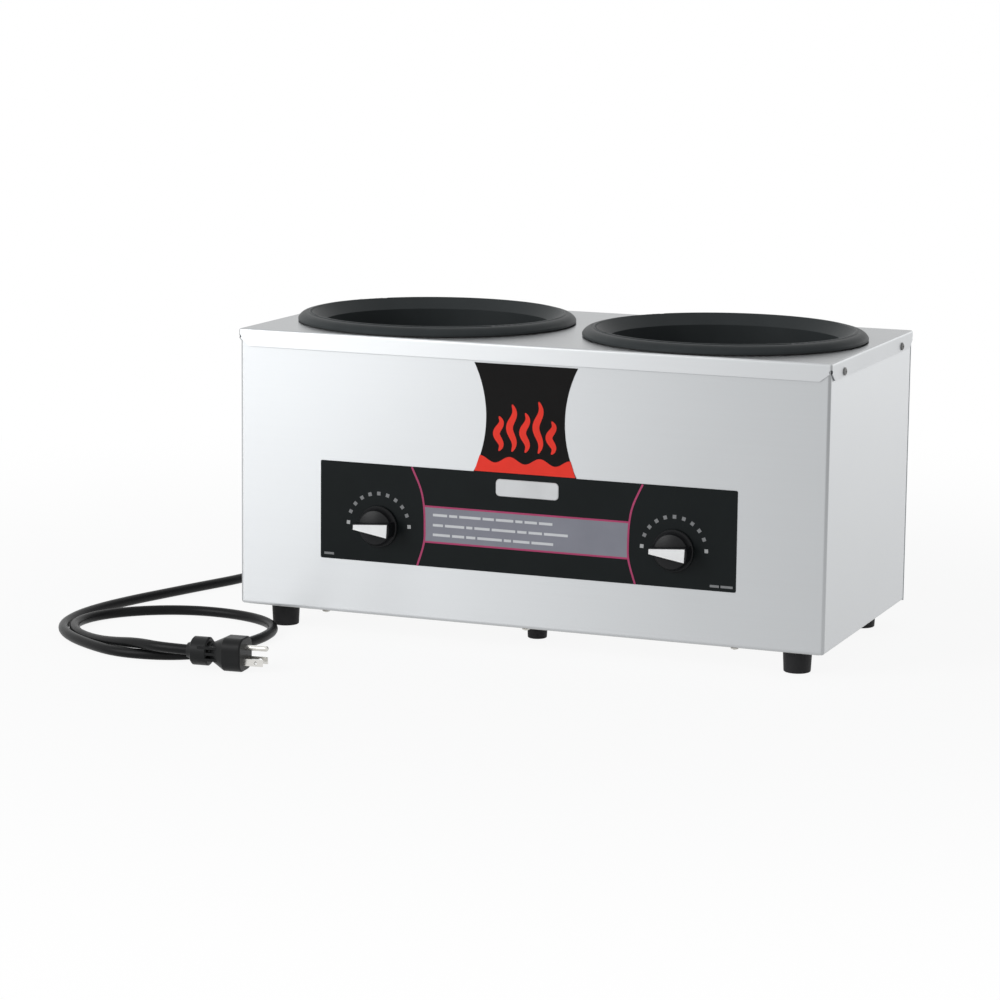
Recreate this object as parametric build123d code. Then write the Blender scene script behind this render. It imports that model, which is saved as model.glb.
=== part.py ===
from build123d import *
import os
from math import asin, cos, pi, radians, sin, tan

# Twin-well countertop rethermalizer, piece by piece, in millimetres.
# +X is the operator's right, +Y the back, +Z up, with the floor at z = 0.
# The cabinet is drawn about its own middle. On export everything moves along Y by shift_y,
# so that the origin is the middle of the whole depth, knobs included.

# Cabinet sheet metal
BODY_W = 572.0
BODY_D = 275.0
BODY_H = 260.0
SHEET = 1.0
FLANGE_GAP = 0.3
DECK_FLANGE = 16.0
DECK_BEND_R = 2.2
WALL_BEND_R = 3.0
RETURN_W = 15.0
CLIP_W = 11.0
CLIP_H = 8.5
CLIP_NOTCH_R = 2.0
PANEL_SIDE_GAP = 1.0

# Base plate, feet and their screws
BASE_T = 1.0
BASE_INSET = 6.0
FOOT_H = 21.5
FOOT_R = 13.3
FOOT_TAPER = 1.0
FOOT_ROUND = 1.2
FOOT_INSET_X = 34.0
FOOT_INSET_Y = 31.0
MID_FOOT_R = 10.0
MID_FOOT_X = -12.0
MID_FOOT_Y = 68.0
FOOT_BORE_R = 5.0
FOOT_BORE_DEPTH = 9.0
VENT_W = 5.0
VENT_L = 60.0
VENT_PITCH = 18.0
VENTS_PER_WELL = 5

# Screws: a domed pan head on a plain shank
SCREW_R = 1.75
SCREW_HEAD_R = 3.6
SCREW_HEAD_H = 2.0
SCREW_HEAD_EDGE = 0.8
SCREW_GRIP = 6.0
HOLE_CLEARANCE = 0.2
DECK_SCREW_Y = 97.0
DECK_SCREW_DROP = 11.0
BASE_SCREW_X = 200.0
REAR_SCREW_END = 26.0
NUT_AF = 7.0
NUT_H = 3.2

# Wells, moulded in one piece with their rims
BORE_LAND = 24.0
WELL_WALL = 4.0
WELL_DRAFT = 1.5
WELL_CORNER_R = 14.0
RIM_W = 24.0
RIM_GAP = 23.4
RIM_TO_FRONT = 5.5
RIM_TO_SIDE = 10.3
RIM_EDGE = 1.8
RIM_SWELL = 1.7
LIP_INSET = 12.5
LIP_H = 9.3
LIP_W = 3.6
LIP_DROP = 0.9
RIM_GASKET_T = 1.2
RIM_GASKET_W = 16.0
WELL_CLEARANCE = 0.6
COLLAR_W = 6.0
COLLAR_T = 2.5

# Heater in the floor of each well, and the room under that floor
HEATER_ROOM = 39.3
HEATER_HOLE_R = 62.0
HEATER_CLEARANCE = 0.4
HEATER_GASKET_T = 1.5
HEATER_FLANGE_R = 71.0
HEATER_FLANGE_T = 2.0
DOME_R = 56.0
DOME_RISE = 10.0
DOME_ROUND = 8.0
DOME_WALL = 3.0
SKIRT_WALL = 4.0
SKIRT_DROP = 11.0
RING_NUT_R = 74.0
RING_NUT_H = 8.0
RING_NUT_SLOTS = 6
RING_NUT_SLOT = 8.0
THREAD_GAP = 0.15
ELEMENT_RING_R = 43.0
ELEMENT_R = 4.0
ELEMENT_GAP_DEG = 24.0
ELEMENT_LEG_DROP = 19.8
SEAT_GAP = 0.1
LIMIT_R = 8.0
LIMIT_H = 7.0

# Thermostats, knobs and front films
DIAL_H = 84.0
THERMOSTAT_W = 44.0
THERMOSTAT_H = 34.0
THERMOSTAT_D = 19.0
THERMOSTAT_ROUND = 3.0
BUSH_R = 5.0
BUSH_OUT = 6.0
BUSH_NUT_AF = 14.0
BUSH_NUT_H = 2.6
SPINDLE_R = 3.0
SPINDLE_FLAT = 1.9
SPINDLE_GAP = 0.06
SPINDLE_REST = 5.0
SPINDLE_OUT = 15.0
SPADE_W = 6.3
SPADE_T = 0.8
SPADE_L = 8.0
SPADE_X = 10.0
BULB_R = 3.0
BULB_L = 44.0
BULB_SIDE = 16.0
CAPILLARY_R = 1.0
CAPILLARY_BEND = 6.0
FIRST_MARK_DEG = 3.0
KNOB_R = 19.0
KNOB_FOOT_H = 2.0
KNOB_FLARE = 0.6
KNOB_SHOULDER_R = 15.6
KNOB_SHOULDER = 10.0
KNOB_CROWN = 12.6
KNOB_OUT = 20.0
KNOB_GAP = 1.2
KNOB_RECESS_R = 15.0
KNOB_RECESS_H = 2.4
KNOB_HUB_R = 6.5
GRIP_R = 18.2
GRIP_TIP = 2.9
GRIP_TAIL = 7.2
GRIP_ROUND = 0.7
POINTER_T = 0.6
POINTER_EDGE = 0.8
POINTER_TIP = 17.2
POINTER_TAIL = 16.2
FILM_T = 0.4
OVERLAY_W = 404.6
OVERLAY_BOTTOM = 50.2
OVERLAY_H = 91.8
OVERLAY_CORNER_R = 1.5
DECAL_GAP = 2.0
DECAL_HALF_END = 50.0
DECAL_HALF_WAIST = 38.0

# Supply: gland, block, leads, cord and plug
GLAND_INSET = 62.7
GLAND_H = 32.0
GLAND_HOLE_R = 9.0
GLAND_FLANGE_R = 13.0
GLAND_FLANGE_T = 4.0
GLAND_TAIL = 28.0
GLAND_TAIL_R = 6.6
GLAND_IN = 14.0
GLAND_NUT_H = 4.0
BLOCK_STEP = 27.0
BLOCK_INSET = 38.2
BLOCK_W = 40.0
BLOCK_D = 22.0
BLOCK_H = 16.0
BLOCK_POLES = 3
BLOCK_SLOT_W = 9.0
BLOCK_SLOT_H = 5.0
CLAMP_R = 2.6
CLAMP_H = 3.0
GROUND_STEP = 37.0
GROUND_INSET = 24.2
GROUND_STUD_H = 12.0
LEAD_R = 1.3
LEAD_BEND = 5.0
LEAD_LINK_DROP = 12.0
LEAD_FEED_DROP = 13.0
LEAD_RETURN_DROP = 6.0
LEAD_STEP = 3.0
LEAD_PITCH = 4.0
SUPPLY_TAIL_R = 3.2
CORD_R = 4.7
PLUG_Z = 15.0
PLUG_TURN = 5.0
PLUG_W = 32.0
PLUG_FACE_L = 17.0
PLUG_TAPER_L = 14.0
PLUG_CORNER_R = 10.0
PLUG_ROUND = 1.5
PLUG_WAIST_R = 8.5
PLUG_WAIST_L = 2.5
PLUG_COLLAR_R = 12.8
PLUG_COLLAR_L = 16.0
PLUG_COLLAR_EDGE = 1.2
PLUG_TAIL_R = 6.6
PLUG_TAIL_L = 5.0
PLUG_RIBS = 3
PLUG_RIB_W = 2.4
PLUG_RIB_PITCH = 5.4
PLUG_RIB_OUT = 12.2
BLADE_L = 18.3
BLADE_W = 6.35
BLADE_T = 1.5
BLADE_SPACING = 12.7
BLADE_HOLE_R = 1.6
BLADE_HOLE_END = 6.6
PIN_L = 21.4
PIN_R = 2.4
PIN_OFFSET = 11.9

# Sizes tied to those above: each well fills the depth of the deck and its half of the width
half_deck = BODY_W / 2 - RIM_TO_SIDE - RIM_GAP / 2
RIM_R = min(BODY_D / 2 - RIM_TO_FRONT, half_deck / 2)
BORE_R = RIM_R - RIM_W
LIP_R = BORE_R + LIP_INSET
WELL_X = (RIM_GAP + half_deck) / 2
WELL_DEPTH = BODY_H + LIP_H - HEATER_ROOM
DECAL_H = BODY_H - DECK_FLANGE - DECAL_GAP - OVERLAY_BOTTOM - OVERLAY_H

# Heights and faces that follow from the sizes above
body_bottom = FOOT_H + BASE_T
deck_top = body_bottom + BODY_H
deck_under = deck_top - SHEET
wall_x = BODY_W / 2 - SHEET - FLANGE_GAP
wall_y = BODY_D / 2 - SHEET - FLANGE_GAP
lip_top = deck_top + LIP_H
rim_under = deck_top + RIM_GASKET_T
floor_z = lip_top - WELL_DEPTH
land_low = deck_under - BORE_LAND
dial_z = body_bottom + DIAL_H
shift_y = (KNOB_OUT - SCREW_HEAD_H) / 2

# What stands behind a dial and under a well's floor
SPINDLE_IN = THERMOSTAT_D - SPINDLE_REST
SPADE_BACK = SHEET + THERMOSTAT_D / 2
ELEMENT_LEG_Z = floor_z - ELEMENT_LEG_DROP
CAPILLARY_Z = ELEMENT_LEG_Z
LEAD_LINK_Z = ELEMENT_LEG_Z - LEAD_LINK_DROP
LEAD_FEED_Z = ELEMENT_LEG_Z - LEAD_FEED_DROP
LEAD_RETURN_Z = ELEMENT_LEG_Z - LEAD_RETURN_DROP

# The supply's places, from the rear left corner
GLAND_X = GLAND_INSET - wall_x
GLAND_Z = body_bottom + GLAND_H
BLOCK_X = GLAND_X + BLOCK_STEP
BLOCK_Y = wall_y - BLOCK_INSET
GROUND_X = BLOCK_X + GROUND_STEP
GROUND_Y = wall_y - GROUND_INSET

# The cord's route, laid by hand: out of the gland, down behind the cabinet, along its left side,
# round in a wide loop, once more round inside it, over its own run and into the plug.
gland_end = (GLAND_X, wall_y + GLAND_FLANGE_T + GLAND_TAIL, GLAND_Z)
plug_tail = (-252.0, -309.0, PLUG_Z)
plug_axis = Vector(cos(radians(PLUG_TURN)), sin(radians(PLUG_TURN)), 0)
plug_lead_in = 26.0
CORD_POINTS = [
    gland_end,
    (GLAND_X, gland_end[1] + 26.0, GLAND_Z),
    (-228.0, 226.0, 47.0),
    (-254.0, 254.0, 31.0),
    (-294.0, 258.0, 15.0),
    (-330.0, 236.0, 6.0),
    (-352.0, 196.0, CORD_R),
    (-362.0, 148.0, CORD_R),
    (-369.0, 98.0, CORD_R),
    (-380.0, 48.0, CORD_R),
    (-399.0, 2.0, CORD_R),
    (-415.0, -44.0, CORD_R),
    (-429.0, -90.0, CORD_R),
    (-439.0, -136.0, CORD_R),
    (-440.0, -184.0, CORD_R),
    (-428.0, -230.0, CORD_R),
    (-404.0, -269.0, CORD_R),
    (-371.0, -298.0, CORD_R),
    (-332.0, -314.0, CORD_R),
    (-294.0, -313.0, CORD_R),
    (-264.0, -297.0, CORD_R),
    (-248.0, -266.0, CORD_R),
    (-242.0, -231.0, CORD_R),
    (-238.0, -195.0, CORD_R),
    (-245.0, -159.0, CORD_R),
    (-268.0, -130.0, CORD_R),
    (-303.0, -113.0, CORD_R),
    (-345.0, -109.0, CORD_R),
    (-382.0, -121.0, CORD_R),
    (-410.0, -146.0, CORD_R),
    (-424.0, -179.0, CORD_R),
    (-421.0, -213.0, CORD_R),
    (-400.0, -240.0, CORD_R),
    (-371.0, -259.0, 5.2),
    (-340.0, -279.0, 8.2),
    (-308.0, -299.0, 13.0),
    tuple(Vector(*plug_tail) - plug_axis * plug_lead_in),
    plug_tail,
]


def save(node, *shapes):
    """Export a node: every solid of its shapes, moved to the shared origin."""
    moved = [Pos(0, shift_y, 0) * solid for shape in shapes for solid in shape.solids()]
    export_step(moved[0] if len(moved) == 1 else Compound(moved), f"parts/{node}.step")


def block(low, high):
    """A box between two corners."""
    size = [b - a for a, b in zip(low, high)]
    middle = [(a + b) / 2 for a, b in zip(low, high)]
    return Pos(*middle) * Box(*size)


def upright(x, y, z, radius, height):
    """A cylinder standing on (x, y, z)."""
    return Pos(x, y, z) * Cylinder(radius, height, align=(Align.CENTER, Align.CENTER, Align.MIN))


def ring(x, y, z, inner, outer, height):
    return upright(x, y, z, outer, height) - upright(x, y, z, inner, height)


def across(x, y, z, radius, length):
    """A cylinder along Y, centred on (x, y, z)."""
    return Pos(x, y, z) * Rot(90, 0, 0) * Cylinder(radius, length)


def rz(radius, height):
    return Vector(radius, 0, height)


def arc(start, end, rise):
    """An arc in the radius-height plane, standing off its chord by rise to the left of its way."""
    along = (end - start).normalized()
    left = Vector(-along.Z, 0, along.X)
    return ThreePointArc(start, (start + end) * 0.5 + left * rise, end)


def corner(centre, radius, start_deg, end_deg):
    """A round corner in the radius-height plane."""
    at = [centre + rz(cos(radians(a)), sin(radians(a))) * radius for a in (start_deg, end_deg)]
    middle_deg = radians((start_deg + end_deg) / 2)
    return ThreePointArc(at[0], centre + rz(cos(middle_deg), sin(middle_deg)) * radius, at[1])


def crown(radius, low, high):
    """A round crown in the radius-height plane, from its rim at low to the axis at high."""
    ball = (radius**2 + (high - low) ** 2) / (2 * (high - low))
    half = asin(radius / ball) / 2
    middle = rz(ball * sin(half), high - ball * (1 - cos(half)))
    return ThreePointArc(rz(radius, low), middle, rz(0, high))


def turned(edges):
    """A solid of revolution about Z from a closed half profile."""
    return revolve(make_face(edges), axis=Axis.Z)


def tube(points, radius, bend):
    """A round tube along a polyline with equal bends."""
    path = FilletPolyline(*points, radius=bend)
    start = Plane(origin=path @ 0, z_dir=path % 0)
    return sweep(start * Circle(radius), path=path)


def hex_nut(across_flats, height, bore):
    outline = RegularPolygon(across_flats / 2, 6, major_radius=False) - Circle(bore)
    return extrude(outline, height)


def pan_screw(grip=SCREW_GRIP):
    """A screw with its head's seat at z = 0, the head above and the shank below."""
    shank = [rz(0, SCREW_HEAD_H), rz(0, -grip), rz(SCREW_R, -grip), rz(SCREW_R, 0)]
    head = [rz(SCREW_HEAD_R, 0), rz(SCREW_HEAD_R, SCREW_HEAD_EDGE)]
    profile = [Polyline(*shank, *head), crown(SCREW_HEAD_R, SCREW_HEAD_EDGE, SCREW_HEAD_H)]
    return turned(profile)


def deck_screw_places():
    for side in (-1, 1):
        for y in (-DECK_SCREW_Y, DECK_SCREW_Y):
            place = (side * BODY_W / 2, y, deck_top - DECK_SCREW_DROP)
            yield Plane(origin=place, x_dir=(0, 1, 0), z_dir=(side, 0, 0))


def rear_screw_places():
    low, high = body_bottom + REAR_SCREW_END, deck_under - REAR_SCREW_END
    for side in (-1, 1):
        for z in (low, (low + high) / 2, high):
            place = (side * (wall_x - RETURN_W / 2), wall_y, z)
            yield Plane(origin=place, x_dir=(1, 0, 0), z_dir=(0, 1, 0))


def base_screw_places():
    for y in (-1, 1):
        for x in (-BASE_SCREW_X, 0, BASE_SCREW_X):
            place = (x, y * (wall_y - RETURN_W / 2), FOOT_H)
            yield Plane(origin=place, x_dir=(1, 0, 0), z_dir=(0, 0, -1))


def screw_holes(places, depth=SCREW_GRIP):
    """Clearance holes for the screws at these places."""
    drill = Pos(0, 0, -depth / 2) * Cylinder(SCREW_R + HOLE_CLEARANCE, depth + 1)
    return [place.location * drill for place in places]


def screws(places):
    return [place.location * pan_screw() for place in places]


def corner_feet_places():
    x = BODY_W / 2 - FOOT_INSET_X
    y = BODY_D / 2 - FOOT_INSET_Y
    return [(sx * x, sy * y) for sx in (-1, 1) for sy in (-1, 1)]


def middle_feet_places():
    return [(MID_FOOT_X, -MID_FOOT_Y), (MID_FOOT_X, MID_FOOT_Y)]


def make_wrapper():
    """Front and sides in one folded sheet, with returns along the bottom and at the back."""
    back = wall_y - SHEET
    outer = block((-wall_x, -wall_y, body_bottom), (wall_x, back, deck_under))
    outer = fillet(outer.edges().filter_by(Axis.Z), WALL_BEND_R)
    outer = fillet(outer.faces().sort_by(Axis.Z)[0].edges(), WALL_BEND_R)
    inside_low = (-wall_x + SHEET, -wall_y + SHEET, body_bottom + SHEET)
    inside = block(inside_low, (wall_x - SHEET, back - SHEET, deck_under + BODY_H))
    inside = fillet(inside.edges().filter_by(Axis.Z), WALL_BEND_R - SHEET)
    inside = fillet(inside.faces().sort_by(Axis.Z)[0].edges(), WALL_BEND_R - SHEET)
    half_window = wall_x - RETURN_W
    window = block((-half_window, -wall_y + RETURN_W, 0), (half_window, BODY_D, body_bottom + 2 * SHEET))
    rear_window = block((-half_window, back - 2 * SHEET, 0), (half_window, BODY_D, deck_top))
    shell = outer - inside - window - rear_window
    for x in (-WELL_X, WELL_X):
        shell -= across(x, -wall_y, dial_z, BUSH_R + HOLE_CLEARANCE, 4 * SHEET)
    shell -= screw_holes(deck_screw_places())
    shell -= screw_holes(rear_screw_places())
    shell -= screw_holes(base_screw_places())
    return shell


def make_deck():
    """Top pan: a plate with two round openings and flanges turned down outside the walls."""
    half_w, half_d = BODY_W / 2, BODY_D / 2
    skirt_z = deck_top - DECK_FLANGE
    pan = block((-half_w, -half_d, skirt_z), (half_w, half_d, deck_top))
    pan = fillet(pan.edges().filter_by(Axis.Z), DECK_BEND_R)
    pan = fillet(pan.faces().sort_by(Axis.Z)[-1].edges(), DECK_BEND_R)
    inside_low = (-half_w + SHEET, -half_d + SHEET, skirt_z - DECK_FLANGE)
    inside = block(inside_low, (half_w - SHEET, half_d - SHEET, deck_under))
    pan -= inside
    for x in (-WELL_X, WELL_X):
        pan -= upright(x, 0, skirt_z, BORE_R + WELL_WALL + WELL_CLEARANCE, 2 * DECK_FLANGE)
    reach = SHEET + FLANGE_GAP
    for sx in (-1, 1):
        for sy in (-1, 1):
            pan -= flange_clip(sx * half_w, sy * half_d, skirt_z, -sx, -sy, reach)
    return pan - screw_holes(deck_screw_places())


def flange_clip(x, y, z, into_x, into_y, reach):
    """The slanted ends of two flanges that meet at a corner, and the notch where they part."""
    rise = (0, 0, CLIP_H)
    front = Polyline((0, 0, 0), (into_x * CLIP_W, 0, 0), rise, close=True)
    side = Polyline((0, 0, 0), (0, into_y * CLIP_W, 0), rise, close=True)
    front_cut = extrude(make_face(front), amount=reach, dir=(0, into_y, 0))
    side_cut = extrude(make_face(side), amount=reach, dir=(into_x, 0, 0))
    diagonal = Plane(origin=(0, 0, CLIP_H), z_dir=(into_x, into_y, 0))
    notch = diagonal.location * Cylinder(CLIP_NOTCH_R, 6 * reach)
    return [Pos(x, y, z) * cut for cut in (front_cut, side_cut, notch)]


def make_rear_panel():
    """Flat back sheet with a return along its foot, screwed to the wrapper's returns."""
    half = wall_x - RETURN_W - PANEL_SIDE_GAP
    sheet = block((-wall_x, wall_y - SHEET, body_bottom), (wall_x, wall_y, deck_under))
    foot = block((-half, wall_y - RETURN_W, body_bottom), (half, wall_y, body_bottom + SHEET))
    panel = sheet + foot
    panel -= across(GLAND_X, wall_y, GLAND_Z, GLAND_HOLE_R, 4 * SHEET)
    return panel - screw_holes(rear_screw_places()) - screw_holes(base_screw_places())


def make_base():
    """Bottom plate with air slots under each well."""
    half_w, half_d = wall_x - BASE_INSET, wall_y - BASE_INSET
    plate = block((-half_w, -half_d, FOOT_H), (half_w, half_d, body_bottom))
    slot = extrude(SlotOverall(VENT_L, VENT_W, rotation=90), amount=BASE_T * 3, both=True)
    for x in (-WELL_X, WELL_X):
        for i in range(VENTS_PER_WELL):
            offset = (i - (VENTS_PER_WELL - 1) / 2) * VENT_PITCH
            plate -= Pos(x + offset, 0, FOOT_H) * slot
    for x, y in corner_feet_places() + middle_feet_places():
        plate -= upright(x, y, FOOT_H - BASE_T, SCREW_R + HOLE_CLEARANCE, 3 * BASE_T)
    return plate - screw_holes(base_screw_places())


def make_foot(radius):
    """A rubber foot with a bore for its screw's head."""
    sole = radius - FOOT_TAPER
    profile = [
        Line(rz(FOOT_BORE_R, 0), rz(sole - FOOT_ROUND, 0)),
        corner(rz(sole - FOOT_ROUND, FOOT_ROUND), FOOT_ROUND, -90, 0),
        Polyline(
            rz(sole, FOOT_ROUND),
            rz(radius, FOOT_H),
            rz(SCREW_R + HOLE_CLEARANCE, FOOT_H),
            rz(SCREW_R + HOLE_CLEARANCE, FOOT_BORE_DEPTH),
            rz(FOOT_BORE_R, FOOT_BORE_DEPTH),
            rz(FOOT_BORE_R, 0),
        ),
    ]
    return turned(profile)


def make_well():
    """A moulded round well with its raised rim, about its own axis."""
    round_z = floor_z + WELL_CORNER_R
    foot_r = BORE_R - (land_low - round_z) * tan(radians(WELL_DRAFT))
    round_centre = rz(foot_r - WELL_CORNER_R, round_z)
    outer_r = BORE_R + WELL_WALL
    edge_top = rz(RIM_R, rim_under + RIM_EDGE)
    lip_out = rz(LIP_R + LIP_W / 2, lip_top - LIP_DROP)
    lip_in = rz(LIP_R - LIP_W / 2, lip_top - LIP_DROP)
    under_z = floor_z - WELL_WALL
    profile = [
        Line(rz(RIM_R, rim_under), edge_top),
        arc(edge_top, lip_out, -RIM_SWELL),
        arc(lip_out, lip_in, -LIP_DROP),
        Polyline(lip_in, rz(BORE_R, deck_under), rz(BORE_R, land_low), rz(foot_r, round_z)),
        corner(round_centre, WELL_CORNER_R, 0, -90),
        Polyline(
            rz(foot_r - WELL_CORNER_R, floor_z),
            rz(HEATER_HOLE_R, floor_z),
            rz(HEATER_HOLE_R, under_z),
            rz(foot_r - WELL_CORNER_R, under_z),
        ),
        corner(round_centre, WELL_CORNER_R + WELL_WALL, -90, 0),
        Polyline(
            rz(foot_r + WELL_WALL, round_z),
            rz(outer_r, land_low),
            rz(outer_r, rim_under),
            rz(RIM_R, rim_under),
        ),
    ]
    return turned(profile)


def make_dome():
    """Heater head: a raised plate with a flange on the well's floor and a skirt through it."""
    under = floor_z + HEATER_GASKET_T
    flange_top = under + HEATER_FLANGE_T
    top = flange_top + DOME_RISE
    skirt_r = HEATER_HOLE_R - HEATER_CLEARANCE
    skirt_low = floor_z - WELL_WALL - SKIRT_DROP
    skirt_in = skirt_r - SKIRT_WALL
    round_centre = rz(DOME_R - DOME_ROUND, top - DOME_ROUND)
    profile = [
        Line(rz(0, top), rz(DOME_R - DOME_ROUND, top)),
        corner(round_centre, DOME_ROUND, 90, 0),
        Polyline(
            rz(DOME_R, top - DOME_ROUND),
            rz(DOME_R, flange_top),
            rz(HEATER_FLANGE_R, flange_top),
            rz(HEATER_FLANGE_R, under),
            rz(skirt_r, under),
            rz(skirt_r, skirt_low),
            rz(skirt_in, skirt_low),
            rz(skirt_in, under),
            rz(DOME_R - DOME_WALL, under),
            rz(DOME_R - DOME_WALL, top - DOME_ROUND),
        ),
        corner(round_centre, DOME_ROUND - DOME_WALL, 0, 90),
        Polyline(rz(DOME_R - DOME_ROUND, top - DOME_WALL), rz(0, top - DOME_WALL), rz(0, top)),
    ]
    return turned(profile)


def dome_seat():
    """Height of the flat underside of the heater head."""
    return floor_z + HEATER_GASKET_T + HEATER_FLANGE_T + DOME_RISE - DOME_WALL


def make_ring_nut():
    """Slotted ring nut that pulls the heater down on its gasket."""
    low = floor_z - WELL_WALL - RING_NUT_H
    bore = HEATER_HOLE_R - HEATER_CLEARANCE + THREAD_GAP
    nut = ring(0, 0, low, bore, RING_NUT_R, RING_NUT_H)
    cut = Box(RING_NUT_SLOT, RING_NUT_SLOT, 2 * RING_NUT_H)
    slot = Pos(RING_NUT_R, 0, low + RING_NUT_H / 2) * cut
    for i in range(RING_NUT_SLOTS):
        nut -= Rot(0, 0, i * 360 / RING_NUT_SLOTS) * slot
    return nut


def leg_places():
    half_gap = radians(ELEMENT_GAP_DEG / 2)
    x, y = ELEMENT_RING_R * sin(half_gap), -ELEMENT_RING_R * cos(half_gap)
    return [(-x, y), (x, y)]


def make_element():
    """Tubular heating element: an open ring under the heater head with two legs down."""
    height = dome_seat() - ELEMENT_R - SEAT_GAP
    section = Plane(origin=(0, -ELEMENT_RING_R, height), z_dir=(1, 0, 0)) * Circle(ELEMENT_R)
    hoop = revolve(section, axis=Axis.Z, revolution_arc=360 - ELEMENT_GAP_DEG)
    hoop = Rot(0, 0, ELEMENT_GAP_DEG / 2) * hoop
    for x, y in leg_places():
        hoop += upright(x, y, ELEMENT_LEG_Z, ELEMENT_R, height - ELEMENT_LEG_Z)
        hoop += Pos(x, y, height) * Sphere(ELEMENT_R)
    return hoop


def make_limit_switch():
    """Disc cut-out under the middle of the heater head, with two tabs."""
    top = dome_seat()
    body = upright(0, 0, top - LIMIT_H, LIMIT_R, LIMIT_H)
    for x in (-LIMIT_R / 2, LIMIT_R / 2):
        tab_low = (x - SPADE_T / 2, -SPADE_W / 2, top - LIMIT_H - SPADE_L)
        body += block(tab_low, (x + SPADE_T / 2, SPADE_W / 2, top - LIMIT_H))
    return body


def dial_plane(x):
    """Local frame of a dial: x right, y up and z out of the front sheet's face."""
    return Plane(origin=(x, -wall_y, dial_z), x_dir=(1, 0, 0), z_dir=(0, -1, 0)).location


def make_thermostat():
    """Thermostat body behind the front sheet, with its bush through it and two spade tabs."""
    rear = -SHEET - THERMOSTAT_D
    half_w, half_h = THERMOSTAT_W / 2, THERMOSTAT_H / 2
    case = block((-half_w, -half_h, rear), (half_w, half_h, -SHEET))
    case = fillet(case.edges().filter_by(Axis.Z), THERMOSTAT_ROUND)
    bush = upright(0, 0, -SHEET, BUSH_R, SHEET + BUSH_OUT)
    spade = Pos(0, -half_h - SPADE_L / 2, -SPADE_BACK) * Box(SPADE_W, SPADE_L, SPADE_T)
    bore_l = SPINDLE_IN + SHEET + BUSH_OUT
    bore = upright(0, 0, BUSH_OUT - bore_l, SPINDLE_R + SPINDLE_GAP, bore_l)
    return case + bush + Pos(-SPADE_X) * spade + Pos(SPADE_X) * spade - bore


def make_capillary(x):
    """Capillary from the thermostat's foot to its bulb under the heater head."""
    side = x - BULB_SIDE
    front = -wall_y + SPADE_BACK
    top = dial_z - THERMOSTAT_H / 2
    bulb_z = dome_seat() - BULB_R - SEAT_GAP
    rise_y = -BULB_L / 2 - 1.5 * CAPILLARY_BEND
    route = [
        (side, front, top),
        (side, front, CAPILLARY_Z),
        (side, rise_y, CAPILLARY_Z),
        (side, rise_y, bulb_z),
        (side, -BULB_L / 2, bulb_z),
    ]
    bulb = across(side, 0, bulb_z, BULB_R, BULB_L)
    return tube(route, CAPILLARY_R, CAPILLARY_BEND) + bulb


def grip_line(x):
    """Half height of the grip at x: narrow at its pointing end, wide at its tail."""
    share = (x + GRIP_R) / (2 * GRIP_R)
    return GRIP_TIP + (GRIP_TAIL - GRIP_TIP) * share


def wedge_face(tip, tail, inset):
    """The grip's outline between x = -tip and x = tail, drawn in by an inset."""
    low, high = grip_line(-tip) - inset, grip_line(tail) - inset
    return make_face(Polyline((-tip, -low), (tail, -high), (tail, high), (-tip, low), close=True))


def make_knob():
    """Bell-shaped knob with a low crown and a wedge-shaped grip across it."""
    foot_top = KNOB_GAP + KNOB_FOOT_H
    foot_edge, shoulder = rz(KNOB_R, foot_top), rz(KNOB_SHOULDER_R, KNOB_SHOULDER)
    bell = [
        Polyline(rz(0, KNOB_CROWN), rz(0, KNOB_GAP), rz(KNOB_R, KNOB_GAP), foot_edge),
        arc(foot_edge, shoulder, KNOB_FLARE),
        crown(KNOB_SHOULDER_R, KNOB_SHOULDER, KNOB_CROWN),
    ]
    grip_h = KNOB_OUT - POINTER_T - foot_top
    grip = extrude(wedge_face(GRIP_R, GRIP_R, 0) & Circle(GRIP_R), grip_h)
    grip = fillet(grip.faces().sort_by(Axis.Z)[-1].edges(), GRIP_ROUND)
    body = turned(bell) + Pos(0, 0, foot_top) * grip
    body -= ring(0, 0, KNOB_GAP, KNOB_HUB_R, KNOB_RECESS_R, KNOB_RECESS_H)
    body -= upright(0, 0, 0, KNOB_HUB_R + 1, BUSH_OUT + KNOB_GAP)
    return body - spindle_bar(SPINDLE_GAP, SPINDLE_OUT + SPINDLE_GAP)


def spindle_bar(grow, end):
    """The flatted end of the spindle, grown by a clearance."""
    bar = upright(0, 0, BUSH_OUT, SPINDLE_R + grow, end - BUSH_OUT)
    flat_low = (-KNOB_R, SPINDLE_FLAT + grow, BUSH_OUT + KNOB_GAP)
    return bar - block(flat_low, (KNOB_R, KNOB_R, KNOB_OUT))


def make_spindle():
    """Round shaft in the bush, flatted where the knob sits."""
    inner_end = -SHEET - SPINDLE_IN + SPINDLE_GAP
    return upright(0, 0, inner_end, SPINDLE_R, BUSH_OUT - inner_end) + spindle_bar(0, SPINDLE_OUT)


def make_pointer():
    """White wedge on the face of the grip."""
    wedge = wedge_face(POINTER_TIP, POINTER_TAIL, POINTER_EDGE)
    return Pos(0, 0, KNOB_OUT - POINTER_T) * extrude(wedge, POINTER_T)


def make_overlay():
    """Black printed film over the front sheet, with openings for the thermostat bushes."""
    low = body_bottom + OVERLAY_BOTTOM
    sheet = Pos(0, low + OVERLAY_H / 2) * RectangleRounded(OVERLAY_W, OVERLAY_H, OVERLAY_CORNER_R)
    opening = BUSH_NUT_AF / 2 + 2
    for x in (-WELL_X, WELL_X):
        sheet -= Pos(x, dial_z) * Circle(opening)
    return front_film(sheet)


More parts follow.
